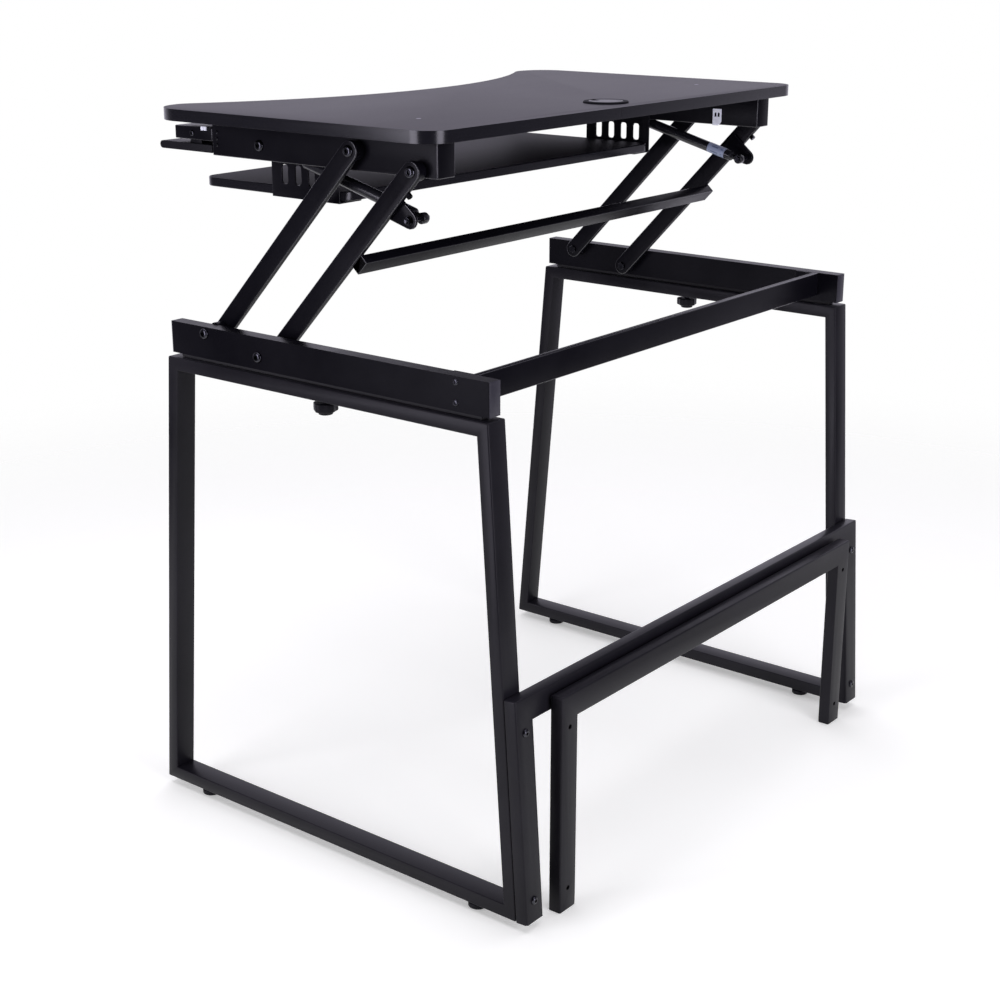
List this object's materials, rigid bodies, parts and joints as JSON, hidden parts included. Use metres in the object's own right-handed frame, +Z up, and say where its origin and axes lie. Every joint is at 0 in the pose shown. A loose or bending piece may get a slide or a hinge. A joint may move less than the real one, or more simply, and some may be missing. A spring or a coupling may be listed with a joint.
{
  "type": "standing desk converter",
  "caption": "Parallel-arm desk riser with gas springs, shaped top, keyboard tray and squeeze levers, clamped on an open tube floor stand.",
  "frame": {"origin": "floor level under the middle of the whole object", "axes": "+Z up, the user stands at -Y and faces +Y, +X to the user's right"},
  "size_m": [0.86, 0.6584, 0.9615],
  "materials": {
    "stand_tube": "satin black powder coat",
    "riser_steel": "satin black powder coat",
    "fastener": "blackened zinc",
    "gas_paint": "gloss black",
    "rod_chrome": "polished",
    "black_plastic": "fine grain",
    "black_rubber": "matt",
    "laminated_board": "black laminate on board, black edge band"
  },
  "bodies": {
    "stand": {"side_frame_left": "stand_tube", "side_frame_right": "stand_tube", "brace_bolt_lower_left": "fastener", "brace_bolt_lower_right": "fastener", "brace_bolt_upper_left": "fastener", "brace_bolt_upper_right": "fastener", "prop_bolt_left": "fastener", "prop_bolt_right": "fastener", "base_rail_left": "riser_steel", "base_rail_right": "riser_steel", "rail_cap_front_left": "black_plastic", "rail_cap_front_right": "black_plastic", "rail_cap_rear_left": "black_plastic", "rail_cap_rear_right": "black_plastic", "rail_pad_left": "black_rubber", "rail_pad_right": "black_rubber", "lower_pivot_front_left": "fastener", "lower_pivot_front_right": "fastener", "lower_pivot_rear_left": "fastener", "lower_pivot_rear_right": "fastener", "rear_brace": "stand_tube", "prop_frame": "stand_tube", "rear_crossbar": "riser_steel"},
    "rear_arms": {"rear_arm_left": "riser_steel", "rear_arm_right": "riser_steel", "gas_lug_left": "riser_steel", "gas_lug_right": "riser_steel", "link_bar": "riser_steel"},
    "front_arms": {"front_arm_left": "riser_steel", "front_arm_right": "riser_steel"},
    "upper_frame": {"upper_rail_left": "riser_steel", "upper_rail_right": "riser_steel", "tray_hanger_left": "riser_steel", "tray_hanger_right": "riser_steel", "lever_housing_left": "riser_steel", "lever_housing_right": "riser_steel", "upper_pivot_front_left": "fastener", "upper_pivot_front_right": "fastener", "upper_pivot_rear_left": "fastener", "upper_pivot_rear_right": "fastener", "rod_pin_left": "fastener", "rod_pin_right": "fastener", "desktop": "laminated_board", "keyboard_tray": "laminated_board", "grommet_ring": "black_plastic"},
    "grommet_cover": {"grommet_cap": "black_plastic"},
    "gas_cylinder_body_left": {"gas_cylinder_left": "gas_paint"},
    "gas_rod_body_left": {"gas_rod_left": "rod_chrome"},
    "lever_left": {"lift_lever_left": "black_plastic"},
    "knob_left": {"clamp_knob_left": "black_plastic"},
    "foot_front_left": {"levelling_foot_front_left": "black_plastic"},
    "foot_rear_left": {"levelling_foot_rear_left": "black_plastic"},
    "gas_cylinder_body_right": {"gas_cylinder_right": "gas_paint"},
    "gas_rod_body_right": {"gas_rod_right": "rod_chrome"},
    "lever_right": {"lift_lever_right": "black_plastic"},
    "knob_right": {"clamp_knob_right": "black_plastic"},
    "foot_front_right": {"levelling_foot_front_right": "black_plastic"},
    "foot_rear_right": {"levelling_foot_rear_right": "black_plastic"}
  },
  "joints": [
    {"name": "lift", "type": "hinge", "parent": "stand", "child": "rear_arms", "pos_m": [0, -0.11237, 0.661], "axis": [1, 0, 0], "range_deg": [-39, 8]},
    {"name": "front_arm_swing", "type": "hinge", "parent": "stand", "child": "front_arms", "pos_m": [0, -0.20937, 0.678], "axis": [1, 0, 0], "range_deg": [-39, 8]},
    {"name": "desktop_level", "type": "hinge", "parent": "rear_arms", "child": "upper_frame", "pos_m": [0, 0.12103, 0.90824], "axis": [1, 0, 0], "range_deg": [-8, 39]},
    {"name": "gas_spring_swing_left", "type": "hinge", "parent": "rear_arms", "child": "gas_cylinder_body_left", "pos_m": [-0.35965, 0.11193, 0.85068], "axis": [1, 0, 0], "range_deg": [-9, 41]},
    {"name": "gas_spring_stroke_left", "type": "slide", "parent": "gas_cylinder_body_left", "child": "gas_rod_body_left", "axis": [0, -0.9665, 0.2568], "range_m": [-0.038, 0.008]},
    {"name": "lever_squeeze_left", "type": "hinge", "parent": "upper_frame", "child": "lever_left", "pos_m": [-0.35965, -0.26547, 0.92554], "axis": [-1, 0, 0], "range_deg": [0, 8], "stiffness_Nm_per_rad": 0.5, "springref_deg": -9.74},
    {"name": "knob_turn_left", "type": "hinge", "parent": "stand", "child": "knob_left", "pos_m": [-0.4135, -0.00437, 0.6185], "axis": [0, 0, 1], "continuous": true},
    {"name": "foot_height_front_left", "type": "slide", "parent": "stand", "child": "foot_front_left", "axis": [0, 0, -1], "range_m": [0, 0.009]},
    {"name": "foot_height_rear_left", "type": "slide", "parent": "stand", "child": "foot_rear_left", "axis": [0, 0, -1], "range_m": [0, 0.009]},
    {"name": "gas_spring_swing_right", "type": "hinge", "parent": "rear_arms", "child": "gas_cylinder_body_right", "pos_m": [0.35965, 0.11193, 0.85068], "axis": [1, 0, 0], "range_deg": [-9, 41]},
    {"name": "gas_spring_stroke_right", "type": "slide", "parent": "gas_cylinder_body_right", "child": "gas_rod_body_right", "axis": [0, -0.9665, 0.2568], "range_m": [-0.038, 0.008]},
    {"name": "lever_squeeze_right", "type": "hinge", "parent": "upper_frame", "child": "lever_right", "pos_m": [0.35965, -0.26547, 0.92554], "axis": [-1, 0, 0], "range_deg": [0, 8], "stiffness_Nm_per_rad": 0.5, "springref_deg": -9.74},
    {"name": "knob_turn_right", "type": "hinge", "parent": "stand", "child": "knob_right", "pos_m": [0.4135, -0.00437, 0.6185], "axis": [0, 0, 1], "continuous": true},
    {"name": "foot_height_front_right", "type": "slide", "parent": "stand", "child": "foot_front_right", "axis": [0, 0, -1], "range_m": [0, 0.009]},
    {"name": "foot_height_rear_right", "type": "slide", "parent": "stand", "child": "foot_rear_right", "axis": [0, 0, -1], "range_m": [0, 0.009]},
    {"name": "grommet_turn", "type": "hinge", "parent": "upper_frame", "child": "grommet_cover", "pos_m": [0, 0.12003, 0.9615], "axis": [0, 0, 1], "continuous": true}
  ],
  "couplings": [
    {"joint": "front_arm_swing", "follows": "lift", "ratio": 1},
    {"joint": "desktop_level", "follows": "lift", "ratio": -1},
    {"joint": "gas_spring_swing_left", "follows": "lift", "ratio": -1.045},
    {"joint": "gas_spring_stroke_left", "follows": "lift", "m_per_rad": 0.0556},
    {"joint": "gas_spring_swing_right", "follows": "lift", "ratio": -1.045},
    {"joint": "gas_spring_stroke_right", "follows": "lift", "m_per_rad": 0.0556}
  ]
}
